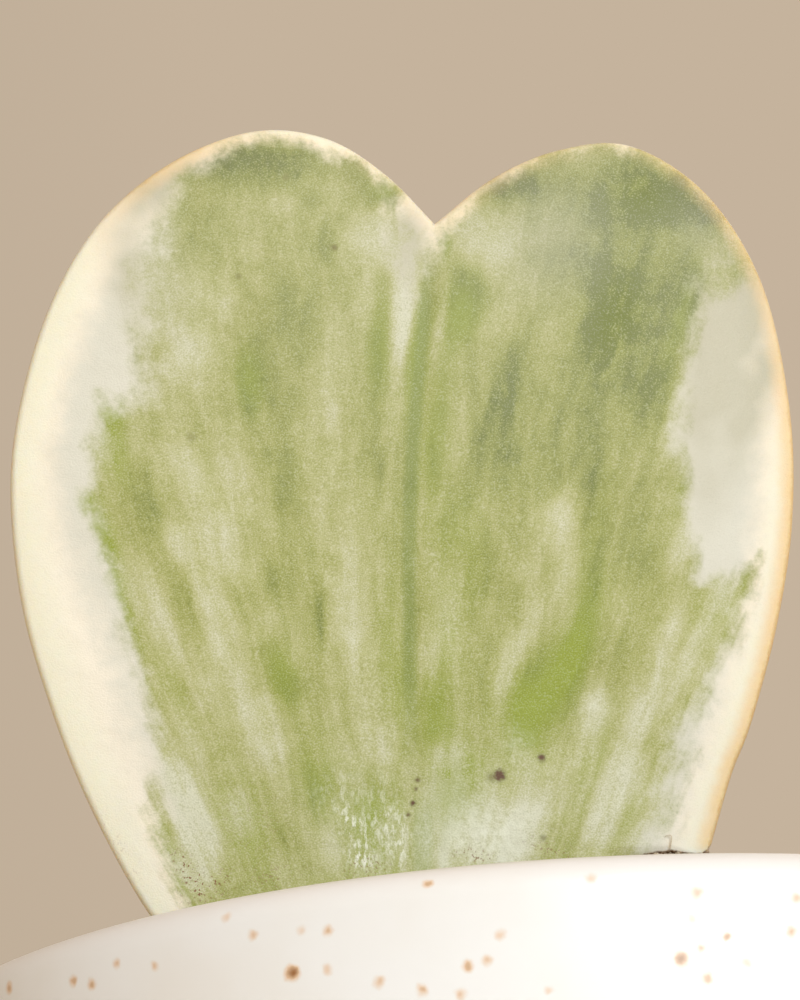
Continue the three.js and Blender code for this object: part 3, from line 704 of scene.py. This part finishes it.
def makeLeaf(material):
    # Rows of points run from the left outline over the midrib to the right one, on the face and on
    # the back. The two sides share their points on the outline, so the leaf is closed.
    heights = rowHeights()[1:-1]
    leftEdge = edgePoints(-1, leftStretches, heights)[0]
    rightEdge, rightTorn = edgePoints(1, rightStretches, heights)
    jag = valueNoise(rightEdge[:, 0] + 50, rightEdge[:, 1] * 0.6 + 50, 0.55, 11)
    toTip = smoothstep(leaf["tornTip"] - rightEdge[:, 0], 0.2, 1.5)
    rightEdge[:, 1] += leaf["ragged"] * jag * rightTorn * toTip
    steps = leaf["columns"]
    share = 1 - (1 - np.arange(steps + 1) / steps) ** leaf["crowding"]
    spine = np.stack([midribAt(heights), heights], 1)
    leftHalf = spine[:, None] + (leftEdge - spine)[:, None] * share[::-1][None, :, None]
    rightHalf = spine[:, None] + (rightEdge - spine)[:, None] * share[None, :, None]
    rows = np.concatenate([leftHalf, rightHalf[:, 1:]], 1)  # rows x (2 steps + 1) x 2
    u, v = rows[..., 0], rows[..., 1]

    foot, notch = np.array([[0, leaf["petioleFoot"]]]), np.array([leaf["notch"]])
    leftLine = np.vstack([foot, leftEdge, notch])
    rightLine = np.vstack([foot, rightEdge[~rightTorn & (heights < 12)]])
    tornLine = rightEdge[rightTorn]
    upperLine = np.vstack([tornLine[-1:], rightEdge[~rightTorn & (heights > 20)], notch])

    def marginDistance(someU, someV):
        natural = np.minimum(distanceToLine(someU, someV, leftLine[::2]),
                             distanceToLine(someU, someV, rightLine))
        natural = np.minimum(natural, distanceToLine(someU, someV, upperLine))
        return natural, distanceToLine(someU, someV, tornLine)

    natural, toTear = marginDistance(u, v)
    distance = np.minimum(natural, leaf["tornBluntness"] * toTear)
    distance[:, [0, -1]] = 0
    faceOut, backOut = leafFaces(u, v, distance)
    edgeOut = leafFaces(u, v, 0 * distance)[0]
    faceOut[:, [0, -1]] = edgeOut[:, [0, -1]]
    ends = np.vstack([foot, notch])
    endOut = leafFaces(ends[:, 0], ends[:, 1], np.zeros(2))[0]

    allU = np.concatenate([u.ravel(), u[:, 1:-1].ravel(), ends[:, 0]])
    allV = np.concatenate([v.ravel(), v[:, 1:-1].ravel(), ends[:, 1]])
    allOut = np.concatenate([faceOut.ravel(), backOut[:, 1:-1].ravel(), endOut])
    points = leafToWorld(allU, allV, allOut)

    count, width = u.shape
    face = np.arange(count * width).reshape(count, width)
    back = face.copy()
    back[:, 1:-1] = count * width + np.arange(count * (width - 2)).reshape(count, width - 2)
    footIndex, notchIndex = len(points) - 2, len(points) - 1

    def quads(grid):
        return np.stack([grid[:-1, :-1], grid[:-1, 1:], grid[1:, 1:], grid[1:, :-1]], -1).reshape(-1, 4)

    def fan(row, tip):
        return np.stack([np.full(width - 1, tip), row[1:], row[:-1]], -1)

    faces = quads(face).tolist() + quads(back)[:, ::-1].tolist()
    faces += fan(face[0], footIndex).tolist() + fan(back[0], footIndex)[:, ::-1].tolist()
    faces += fan(face[-1], notchIndex)[:, ::-1].tolist() + fan(back[-1], notchIndex).tolist()

    across, along = flowAt(allU, allV)
    wash = partial(washStrength, allU, allV)
    natural, toTear = marginDistance(allU, allV)
    front = np.concatenate([np.ones(u.size), np.zeros(u[:, 1:-1].size), [0.5, 0.5]])
    fading = sum(np.exp(-(((allU - u0) / reachU) ** 2) - ((allV - v0) / reachV) ** 2)
                 for u0, v0, reachU, reachV in softPlaces)
    attributes = {
        "plane": np.stack([allU, allV, allOut], 1),
        "flow": np.stack([across, along, front * 7], 1),
        "green": depthInside(allU, allV, greenOutline) * (1 - 0.62 * np.clip(fading, 0, 1)),
        "margin": natural,
        # painted light: at the lower left the cream reaches further in, lightening that margin
        "creamWithPaintedLight": natural * (1 - 0.4 * smoothstep(-allU, 10, 25) * (1 - smoothstep(allV, 32, 52))),
        "bloom": (0.15 * smoothstep(allV, 30, 75)
                  + 0.05 * smoothstep(allU, 3, 16) * smoothstep(allV, 58, 76)
                  + wash(bloomWashes)),
        "tear": toTear,
        "front": front,
        "tone": leaf["toneMost"] * np.tanh(wash(greenWashes) / leaf["toneMost"]),
        "lime": wash(limeWashes),
        "scuff": wash(scuffWashes) * front,
        "scale": wash(scaleWashes) * front,
        "grit": wash(gritWashes) * front,
        "veil": wash(veilWashes) * front,
        "across": allU - midribAt(allV),
        "line": 0.6 * smoothstep(allV, 21, 34) * (1 - smoothstep(allV, 64, 70)) * front,
        "band": 0.25 * (1 - smoothstep(allV, 18, 22)) * front,
        "golden": (0.08 + 0.8 * smoothstep(allU, 14, 28) * (1 - 0.5 * smoothstep(allV, 50, 72))
                   + 0.5 * np.exp(-(((allU + 24) / 5) ** 2)) * smoothstep(allV, 68, 74)
                   + 0.2 * np.exp(-(((allU - 6) / 6) ** 2)) * smoothstep(allV, 70, 75)),
    }
    piece = meshPiece("hoyaLeaf", points, faces, material, attributes)
    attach(piece, "root")
    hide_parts("leaf")


skin = {
    "cream": "#fdeed4",
    "whitish": "#e2dac4",
    "veil": "#cbc2a6",
    "edgeGold": "#f4d199",
    "edgeLine": "#e2bc85",
    "lime": "#98a02c",
    "vein": "#87903a",
    "bloom": "#b0ac97",
    "paleVein": "#bac79f",
    "backGreen": "#b7ba8c",
    "scuff": "#f1edd2",
    "grit": "#8a6036",
    "halo": "#8a8448",
    "cork": "#684522",
    "tear": "#bf9c72",
    "paleFleck": "#fbf8ea",
    "darkFleck": "#6f7340",
    "ior": 1.45,
    "roughness": 0.52,
}

# Greens from palest to deepest.
greens = [(0.0, "#dbd5b4"), (0.2, "#ccc698"), (0.4, "#beb97c"), (0.58, "#aeab61"), (0.75, "#9d9d4b"),
          (0.9, "#8c8f3d"), (1.0, "#797e30")]

# Streaks along the veins and rounder mottling, as (size across, size along, detail, roughness, amount),
# sizes in mm. The grain, which is finer on a real leaf, is drawn as coarse as it needs to show.
streaks = [(3.4, 18, 2.0, 0.5, 0.5), (1.5, 10, 2.0, 0.5, 0.5), (0.7, 5.0, 1.0, 0.5, 0.28)]
mottles = [(3.2, 3.2, 1.0, 0.5, 0.34), (1.1, 1.1, 2.0, 0.6, 0.24), (0.42, 0.42, 1.0, 0.5, 0.14),
           (0.14, 0.14, 0.0, 0.5, 0.28)]


def makeSkin():
    # Hoya skin: matte wax over pale flesh. Green lies in it as soft washes drawn out along the veins,
    # and fine pale and dark grain covers all of it.
    material, add = newMaterial("hoyaSkin")
    plane = add("Attribute", attribute_name="plane", output="Vector")
    flow = add("Attribute", attribute_name="flow", output="Vector")
    (green, margin, creamWithPaintedLight, bloom, tear, front, tone, lime, across, line, band, golden, veil, scuff, scale,
     grit) = [add("Attribute", attribute_name=name, output="Fac") for name in (
         "green", "margin", "creamWithPaintedLight", "bloom", "tear", "front", "tone", "lime", "across", "line", "band",
         "golden", "veil", "scuff", "scale", "grit")]

    # One slow wandering bends all that lies along the veins.
    wander = add("TexNoise", plane, Scale=0.22, Detail=1.0, output="Color")
    wander = add("VectorMath SUBTRACT", wander, (0.5, 0.5, 0.5))
    wander = add("VectorMath MULTIPLY_ADD", wander, (1.6, 0.0, 0.0), flow)
    textures = []
    for where, table in ((wander, streaks), (plane, mottles)):
        for acrossSize, alongSize, detail, roughness, amount in table:
            size = (1 / acrossSize, 1 / alongSize, 1 / acrossSize)
            sized = add("VectorMath MULTIPLY", where, size)
            texture = add("TexNoise", sized, Scale=1.0, Detail=detail, Roughness=roughness)
            textures.append((texture, amount))
    streak, blotch, mottle, fine, grain = [textures[place][0] for place in (1, 3, 4, 5, 6)]

    # The green's edge wanders with the streaks and the mottling, and is soft.
    edge = addUp(add, green, [(blotch, 2.0), (streak, 2.6), (mottle, 1.2), (fine, 0.8)])
    inGreen = add("MapRange", edge, -1.1, 1.3, **soft)
    depth = addUp(add, add("Math MULTIPLY_ADD", tone, 1.1, 0.53), textures)
    tint = add("ValToRGB", depth, stops=greens)
    limeShare = maskedRange(add, lime, depth, 0.25, 0.75, 0.25, 0.95)
    vein = maskedRange(add, line, add("Math ABSOLUTE", across), 0.2, 0.95, 1.0, 0.0, **soft)
    beside = add("Math ABSOLUTE", add("Math SUBTRACT", across, 1.1))
    paleVeinShare = maskedRange(add, band, beside, 0.4, 1.2, 1.0, 0.0, **soft)
    tint = paintOver(add, tint, [
        (limeShare, skin["lime"]), (vein, skin["vein"]), (bloom, skin["bloom"])])

    # Outside the green the skin is whitish, and cream towards the margin; at the lower left the cream is
    # painted wider, as painted light.
    nearMargin = addUp(add, creamWithPaintedLight, [(mottle, 1.4), (blotch, 2.0)])
    atEdge = addUp(add, margin, [(mottle, 0.5), (fine, 0.25)])
    goldShare = maskedRange(add, golden, atEdge, 0.3, 2.1, 1.0, 0.0, **soft)
    lineShare = maskedRange(add, golden, atEdge, 0.1, 0.55, 1.0, 0.0, **soft)
    veilShare = maskedRange(add, veil, blotch, 0.3, 0.6, 0.7, 1.0)
    colour = paintOver(add, linear(skin["whitish"]), [
        (add("MapRange", nearMargin, 2.0, 5.4, 1.0, 0.0, **soft), skin["cream"]),
        (veilShare, skin["veil"]),
        (inGreen, tint),
        (goldShare, skin["edgeGold"]),
        (lineShare, skin["edgeLine"]),
        (add("MapRange", front, 0.0, 1.0, 0.4, 0.0), skin["backGreen"]),
    ])

    # Grain: pale and dark flecks, plainer on the green than on the white.
    onGreen = add("MapRange", inGreen, 0.0, 1.0, 0.25, 1.0)
    paleFleck = maskedRange(add, onGreen, grain, 0.25, 0.46, 0.1, 0.0)
    darkFleck = maskedRange(add, onGreen, grain, 0.54, 0.75, 0.0, 0.14)

    # Scuffs are short white scratches along the veins; scaly places are pale islands; grit is brown dots.
    slanted = add("Mapping", plane, Rotation=(0.0, 0.0, 0.45), Scale=(2.4, 1.0, 2.4))
    scratch = add("TexNoise", slanted, Scale=1.0, Detail=3.0, Roughness=0.7)
    scratch = maskedRange(add, scuff, scratch, 0.48, 0.63)
    island = add("TexNoise", plane, Scale=1.3, Detail=3.0, Roughness=0.75)
    island = maskedRange(add, scale, island, 0.4, 0.64, 0.15, 0.75)
    dots = add("TexNoise", plane, Scale=3.6, Detail=1.0, Roughness=0.6)
    dots = maskedRange(add, grit, dots, 0.6, 0.68, 0.0, 0.9)

    # corky spots, and painted shade: the pits along the midrib drawn as dark brown spots
    cork = 0.0
    for u, v, radius, strength in corkSpotsAndPitShade:
        gap = add("VectorMath DISTANCE", plane, (u, v, faceAt(u, v)), output="Value")
        gap = addUp(add, gap, [(fine, radius * 1.6)])
        mark = add("MapRange", gap, radius * 0.4, radius * 2.4, strength, 0.0, **soft)
        cork = add("Math MAXIMUM", cork, mark)
    torn = add("MapRange", addUp(add, tear, [(fine, 0.25)]), 0.02, 0.2, 1.0, 0.0)
    callus = add("ValToRGB", fine, stops=[(0.35, skin["cork"]), (0.6, skin["tear"])])
    colour = paintOver(add, colour, [
        (paleVeinShare, skin["paleVein"]), (paleFleck, skin["paleFleck"]), (darkFleck, skin["darkFleck"]),
        (island, skin["scuff"]), (scratch, skin["scuff"]), (dots, skin["grit"]),
        (add("MapRange", cork, 0.0, 0.45, 0.0, 0.7), skin["halo"]),
        (add("MapRange", cork, 0.45, 0.85), skin["cork"]),
        (torn, callus),
    ])

    height = addUp(add, add("Math MULTIPLY", scratch, 0.5), [(mottle, 0.5), (grain, 0.5)])
    bump = add("Bump", Height=height, Strength=0.35, Distance=0.12 * mm)
    roughness = add("Math MULTIPLY_ADD", grain, 0.16, skin["roughness"] - 0.08)
    glow = add("MapRange", margin, 1.0, 4.5, 1.0, 0.0)  # light spreads through the flesh at the margin
    makeSurface(add, {
        "Base Color": colour, "Roughness": roughness, "IOR": skin["ior"], "Specular IOR Level": 0.4,
        "Subsurface Weight": glow, "Subsurface Radius": (1.0, 0.88, 0.66), "Subsurface Scale": 1.2 * mm,
        "Normal": bump}, subsurface_method="RANDOM_WALK")
    return material


makeLeaf(makeSkin())
print("leaf grown")


# the torn margin's dried bits: crumbs of callus under its edge and one curled fibre

tear = {
    "crumbs": 120,
    "crumbSize": (0.07, 0.2),
    "rows": (15.05, 5.8),  # v on the midrib from which their rows start, and how far up they go
    "thick": 1.3,  # mm, how far they lie before and behind the margin's middle
    "fibreRadius": 0.055,
    "fibreFoot": (23.15, 17.5),  # (u, v) in mm
    "fibreTall": 1.25,
    "fibreRings": 28,
    "fibreSides": 8,
    "dry": "#86613f",
    "pale": "#e6d3b2",
}


def makeFibre(material):
    # a ring carried along a path that rises from the torn edge and curls over to the left
    rings, sides = tear["fibreRings"], tear["fibreSides"]
    share = np.linspace(0, 1, rings)
    u = tear["fibreFoot"][0] + 0.1 * np.sin(pi * share) - 0.5 * share ** 4
    v = tear["fibreFoot"][1] + tear["fibreTall"] * np.sin(share * 2.0) / sin(2.0) * 0.9
    out = faceAt(*tear["fibreFoot"]) + 0.06 + 0.18 * np.sin(pi * share)
    path = leafToWorld(u, v, out)
    along = np.gradient(path, axis=0)
    along /= np.linalg.norm(along, axis=1)[:, None]
    side = np.cross(along, [0.0, -1.0, 0.0])
    side /= np.linalg.norm(side, axis=1)[:, None]
    over = np.cross(along, side)
    angle = np.linspace(0, 2 * pi, sides, endpoint=False)[:, None]
    radius = (tear["fibreRadius"] * (1 - 0.6 * share ** 2))[:, None, None]
    ring = np.cos(angle) * side[:, None] + np.sin(angle) * over[:, None]
    points = np.vstack([(path[:, None] + radius * ring).reshape(-1, 3), path[:1], path[-1:]])
    piece = meshPiece("tornFibre", points, tubeFaces(rings, sides), material,
                      {"own": np.full(len(points), 0.85)})
    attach(piece, "root")


def makeTear():
    # Callus: leaf flesh dried to brown cork, paler where the skin still clings to it.
    material, add = newMaterial("driedLeafCallus")
    inMm = inMillimetres(add)
    own = add("Attribute", attribute_name="own", output="Fac")
    grit = add("TexNoise", inMm, Scale=5.0, Detail=2.0)
    colour = add("ValToRGB", addUp(add, own, [(grit, 0.6)]), stops=[(0.2, tear["dry"]), (0.9, tear["pale"])])
    makeSurface(add, {"Base Color": colour, "Roughness": 0.85, "IOR": 1.4})

    # The crumbs lie at random along the torn stretch of the outline, most of them small.
    draw = np.random.default_rng(61)
    count = tear["crumbs"]
    start, reach = tear["rows"]
    edge = edgePoints(1, rightStretches, np.sort(start + reach * draw.random(count)))[0]
    least, most = tear["crumbSize"]
    size = least + (most - least) * draw.random(count) ** 2
    out = leafFaces(edge[:, 0], edge[:, 1], np.zeros(count))[0] - leaf["edgeForward"]
    out += tear["thick"] * (2 * draw.random(count) ** 0.6 - 1)
    spots = leafToWorld(edge[:, 0], edge[:, 1] + 0.02 - 0.1 * draw.random(count), out)
    stretches = 0.6 + 0.8 * draw.random((count, 3))
    scatter("tornCallus", spots, size, stretches, draw.random((count, 3)) * 2 * pi, 2, 0.3, material, 62,
            "hoya_leaf")
    makeFibre(material)


# soil: peat crumbs, bark chips and perlite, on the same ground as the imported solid

soil = {
    "level": 88.5,
    "relief": 1.1,
    "seat": 0.3,  # mm, clearance to the pot
    "drop": 3.0,  # mm, how far the top's shoulder runs down the wall
    "segments": 300,
    "rings": 100,
    "clod": 0.9,  # mm, height of the peat's own lumps
    "crumbs": 70,
    "chips": 16,
    "crumbSize": (1.5, 2.9),
    "chipSize": (3.2, 4.6),
    "stemClearing": 3.2,
    "wallClearing": 0.5,
    "seed": 41,
    "fineCrumbs": 620,
    "fineSize": (0.45, 1.5),
    "perlite": 70,
    "perliteSize": (0.6, 1.7),
}


def soilHeight(x, y):
    waves = (np.sin(x * 0.21 + 0.7) * np.cos(y * 0.17 - 0.4) + 0.6 * np.sin(x * 0.43 + y * 0.37)
             + 0.5 * np.cos(y * 0.61 - x * 0.29 + 1.3))
    return soil["level"] + soil["relief"] / 2 * waves


def makeSoilBed(material):
    # The top is rings about the axis, its height the waves plus three sizes of lumpy noise; the last
    # rings run down the wall and close underneath.
    depth = pot["wall"] + soil["seat"]
    topRadius = wallRadius(soil["level"], depth) - 2 * soil["seat"]
    angle = np.linspace(0, 2 * pi, soil["segments"], endpoint=False)
    radius = topRadius * (np.arange(1, soil["rings"] + 1) / soil["rings"])[:, None]
    x, y = radius * np.cos(angle), radius * np.sin(angle)
    lumps = sum(share * (1 - np.abs(valueNoise(x + 200, y + 200, size, seed)) * 2)
                for size, share, seed in ((3.6, 0.5, 21), (1.9, 0.35, 22), (1.0, 0.22, 23)))
    z = soilHeight(x, y) + soil["clod"] * lumps * smoothstep(topRadius - radius, -1, 3)
    shoulder = soil["level"] - soil["drop"]
    bottom = pot["footHeight"] + pot["floor"] + soil["seat"]
    side = np.vstack([[(wallRadius(shoulder, depth), shoulder)],
                      cornerArc(bottom, depth, pot["innerRound"], 6)[::-1]])
    sideX, sideY = side[:, :1] * np.cos(angle), side[:, :1] * np.sin(angle)
    sideZ = side[:, 1:] + 0 * angle
    grid = np.stack([np.vstack([x, sideX]), np.vstack([y, sideY]), np.vstack([z, sideZ])], -1)
    rows, columns = grid.shape[:2]
    centres = [(0, 0, soilHeight(0, 0)), (0, 0, bottom)]
    points = np.vstack([grid.reshape(-1, 3), centres])
    piece = meshPiece("soilBed", points, tubeFaces(rows, columns, flip=True), material,
                      {"own": np.full(len(points), 0.5)})
    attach(piece, "root")
    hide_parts("soil")


def roundLump(level):  # the corners and faces of a ball made of triangles
    mesh = bpy.data.meshes.new("lump")
    ball = bmesh.new()
    bmesh.ops.create_icosphere(ball, subdivisions=level, radius=1.0)
    ball.to_mesh(mesh)
    ball.free()
    corners = np.empty(len(mesh.vertices) * 3)
    mesh.vertices.foreach_get("co", corners)
    faces = np.array([polygon.vertices[:] for polygon in mesh.polygons])
    bpy.data.meshes.remove(mesh)
    return corners.reshape(-1, 3), faces


def turnMatrices(turns):  # rotations about X, then Y, then Z of each row of angles
    whole = np.eye(3)
    for axis in range(3):
        second, third = (axis + 1) % 3, (axis + 2) % 3
        cosine, sine = np.cos(turns[:, axis]), np.sin(turns[:, axis])
        turn = np.zeros((len(turns), 3, 3))
        turn[:, axis, axis] = 1
        turn[:, second, second] = turn[:, third, third] = cosine
        turn[:, second, third], turn[:, third, second] = -sine, sine
        whole = whole @ turn
    return whole


def scatter(name, spots, sizes, stretches, turns, level, roughen, material, seed, slot="potting_soil"):
    # every lump is the same ball, pushed in and out by its own four random waves, then stretched,
    # turned and set down
    corners, faces = roundLump(level)
    draw = np.random.default_rng(seed)
    waves = draw.normal(0, 1, (len(spots), 4, 3)) * 2.4
    phase = draw.random((len(spots), 4, 1)) * 2 * pi
    push = np.sin(np.einsum("nwk,vk->nwv", waves, corners) + phase).sum(1) / 4
    shape = corners[None] * (1 + roughen * push[..., None])
    shape = shape * np.asarray(stretches)[:, None] * np.asarray(sizes)[:, None, None]
    shape = np.einsum("nij,nvj->nvi", turnMatrices(np.asarray(turns)), shape)
    points = (shape + np.asarray(spots)[:, None]).reshape(-1, 3)
    offset = (np.arange(len(spots)) * len(corners))[:, None, None]
    allFaces = (faces[None] + offset).reshape(-1, faces.shape[1])
    own = np.repeat(draw.random(len(spots)), len(corners))
    piece = meshPiece(name, points, allFaces.tolist(), material, {"own": own})
    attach(piece, "root")


def petioleAtSoil():  # where the petiole goes into the soil
    lift = (soil["level"] - leaf["spot"][2]) / leafTurn()[2, 2]
    return leafToWorld(np.array(0.0), np.array(lift), np.array(0.0))


def largeCrumbs():
    # the same draws, in the same order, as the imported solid's crumbs and chips
    draws = seededRandom(soil["seed"])

    def between(low, high):
        return low + (high - low) * next(draws)

    stem = petioleAtSoil()
    crumbs, chips = [], []
    while len(crumbs) + len(chips) < soil["crumbs"] + soil["chips"]:
        isChip = len(crumbs) + len(chips) >= soil["crumbs"]
        size = between(*soil["chipSize" if isChip else "crumbSize"])
        reach = wallRadius(soil["level"], pot["wall"] + soil["seat"]) - size - soil["wallClearing"]
        radius = reach * next(draws) ** 0.5
        angle = 2 * pi * next(draws)
        x, y = radius * cos(angle), radius * sin(angle)
        turn = (between(-0.25, 0.25), between(-0.25, 0.25), between(0, 2 * pi))
        stretch = (1, 0.5, 0.3) if isChip else (1, between(0.7, 1), between(0.6, 0.85))
        if np.hypot(x - stem[0], y - stem[1]) > leaf["petioleRadius"] + soil["stemClearing"] + size:
            spot = (x, y, float(soilHeight(x, y)) + 0.1 * size)
            (chips if isChip else crumbs).append((spot, size, stretch, turn))
    return crumbs, chips


def scatterFine(count, sizes, seed, lift):
    # spread evenly over the soil, most of them small, and sunk in or lifted by a share of their size
    draw = np.random.default_rng(seed)
    size = sizes[0] + (sizes[1] - sizes[0]) * draw.random(count) ** 2
    reach = wallRadius(soil["level"], pot["wall"] + soil["seat"]) - size - 0.8
    radius, angle = reach * draw.random(count) ** 0.5, 2 * pi * draw.random(count)
    x, y = radius * np.cos(angle), radius * np.sin(angle)
    stem = petioleAtSoil()
    keep = np.hypot(x - stem[0], y - stem[1]) > leaf["petioleRadius"] + size + 0.4
    spots = np.stack([x, y, soilHeight(x, y) + soil["clod"] * 0.5 + lift * size], 1)
    stretches = 0.65 + 0.35 * draw.random((count, 3))
    turns = draw.random((count, 3)) * 2 * pi
    return spots[keep], size[keep], stretches[keep], turns[keep]


earth = {  # dark, middle and light
    "peat": ("#2b1f17", "#49372a", "#6e553f"),
    "bark": ("#3f281b", "#7a4f33", "#9a6d48"),
    "perlite": ("#cfcabf", "#e9e6de", "#f4f2ec"),
}


def makeEarth(name, colours, roughness, grit):
    # Dry-topped peat, bark or perlite: dull, each bit its own tone, with fine grit on it.
    material, add = newMaterial(name)
    inMm = inMillimetres(add)
    coarse = add("TexNoise", inMm, Scale=0.45, Detail=3.0, Roughness=0.6)
    fine = add("TexNoise", inMm, Scale=2.6, Detail=4.0, Roughness=0.7)
    own = add("Attribute", attribute_name="own", output="Fac")
    value = addUp(add, 0.45, [(own, 0.45), (coarse, 0.5), (fine, 0.35)])
    colour = add("ValToRGB", value, stops=[*zip((0.15, 0.45, 0.85), colours)])
    bump = add("Bump", Height=fine, Strength=0.8, Distance=grit * mm)
    makeSurface(add, {"Base Color": colour, "Roughness": roughness, "IOR": 1.4, "Normal": bump})
    return material


def makeSoil():
    peat = makeEarth("peatAndCompost", earth["peat"], 0.95, 0.35)
    bark = makeEarth("compostedBark", earth["bark"], 0.85, 0.25)
    perlite = makeEarth("perlite", earth["perlite"], 0.9, 0.2)
    makeSoilBed(peat)
    crumbs, chips = largeCrumbs()
    scatter("peatCrumbs", *zip(*crumbs), 4, 0.22, peat, 51)
    scatter("barkChips", *zip(*chips), 4, 0.16, bark, 52)
    fine = scatterFine(soil["fineCrumbs"], soil["fineSize"], 53, 0.2)
    scatter("fineCrumbs", *fine, 2, 0.2, peat, 54)
    grains = scatterFine(soil["perlite"], soil["perliteSize"], 55, 0.35)
    scatter("perliteGrains", *grains, 3, 0.14, perlite, 56)


makeSoil()
print("soil laid")
makeTear()
print("torn edge roughened")


# the room: a pale floor, the photo's beige air behind, and one large soft light in front

room = {
    "air": "#c5b39d",
    "floor": "#d9cdbd",
    "floorCloud": "#d3c6b4",
    "floorRadius": 3.0,  # m
    "floorSides": 96,
    "leftShade": 0.95,  # the air's brightness at the left of the view, and further round
    "farShade": 0.68,
    "keyPlace": (0.49, -1.38, 0.41),
    "keySize": 0.8,
    "keyPower": 19.0,
    "keyColour": "#dceeff",
    "fillPlace": (0.6, 1.3, 1.1),
    "fillSize": 1.4,
    "fillPower": 3.0,
    "fillColour": "#ffffff",
    "aim": (0.0, 0.0, 0.12),  # m, where both lamps point
}


def areaLight(name, place, size, power, colour):
    data = bpy.data.lights.new(name, "AREA")
    data.shape = "DISK"
    data.size = size
    data.energy = power
    data.color = linear(colour)[:3]
    item = bpy.data.objects.new(name, data)
    aim = Vector(room["aim"]) - Vector(place)
    item.matrix_world = Matrix.Translation(place) @ aim.to_track_quat("-Z", "Y").to_matrix().to_4x4()
    item.visible_camera = False
    bpy.context.scene.collection.objects.link(item)


def makeRoom():
    material, add = newMaterial("paintedFloor")
    cloud = add("TexNoise", add("TexCoord", output="Object"), Scale=3.0, Detail=3.0)
    colour = paintOver(add, linear(room["floor"]), [(cloud, room["floorCloud"])])
    makeSurface(add, {"Base Color": colour, "Roughness": 0.8})
    sides = room["floorSides"]
    angle = np.linspace(0, 2 * pi, sides, endpoint=False)
    radius = room["floorRadius"] / mm
    ring = np.stack([radius * np.cos(angle), radius * np.sin(angle), 0 * angle], 1)
    faces = [[sides, i, (i + 1) % sides] for i in range(sides)]
    floor = meshPiece("floor", np.vstack([ring, [[0, 0, 0]]]), faces, material)

    world = bpy.data.worlds.new("room")
    bpy.context.scene.world = world
    world.use_nodes = True
    world.node_tree.nodes.clear()
    add = partial(addNode, world.node_tree)
    toLeft = add("SeparateXYZ", add("TexCoord", output="Generated"))  # the way seen, -1 on the left
    near = add("MapRange", toLeft, -0.12, -0.03, room["leftShade"], 1.0, **soft)
    far = add("MapRange", toLeft, -0.9, -0.12, room["farShade"], 1.0, **soft)
    strength = add("Math MULTIPLY", near, far)
    add("OutputWorld", add("Background", linear(room["air"]), strength))

    for name in ("key", "fill"):
        areaLight(name, *(room[name + part] for part in ("Place", "Size", "Power", "Colour")))
    bpy.context.scene.view_settings.view_transform = "Standard"
    bpy.context.scene.view_settings.look = "None"


makeRoom()
print("room lit")
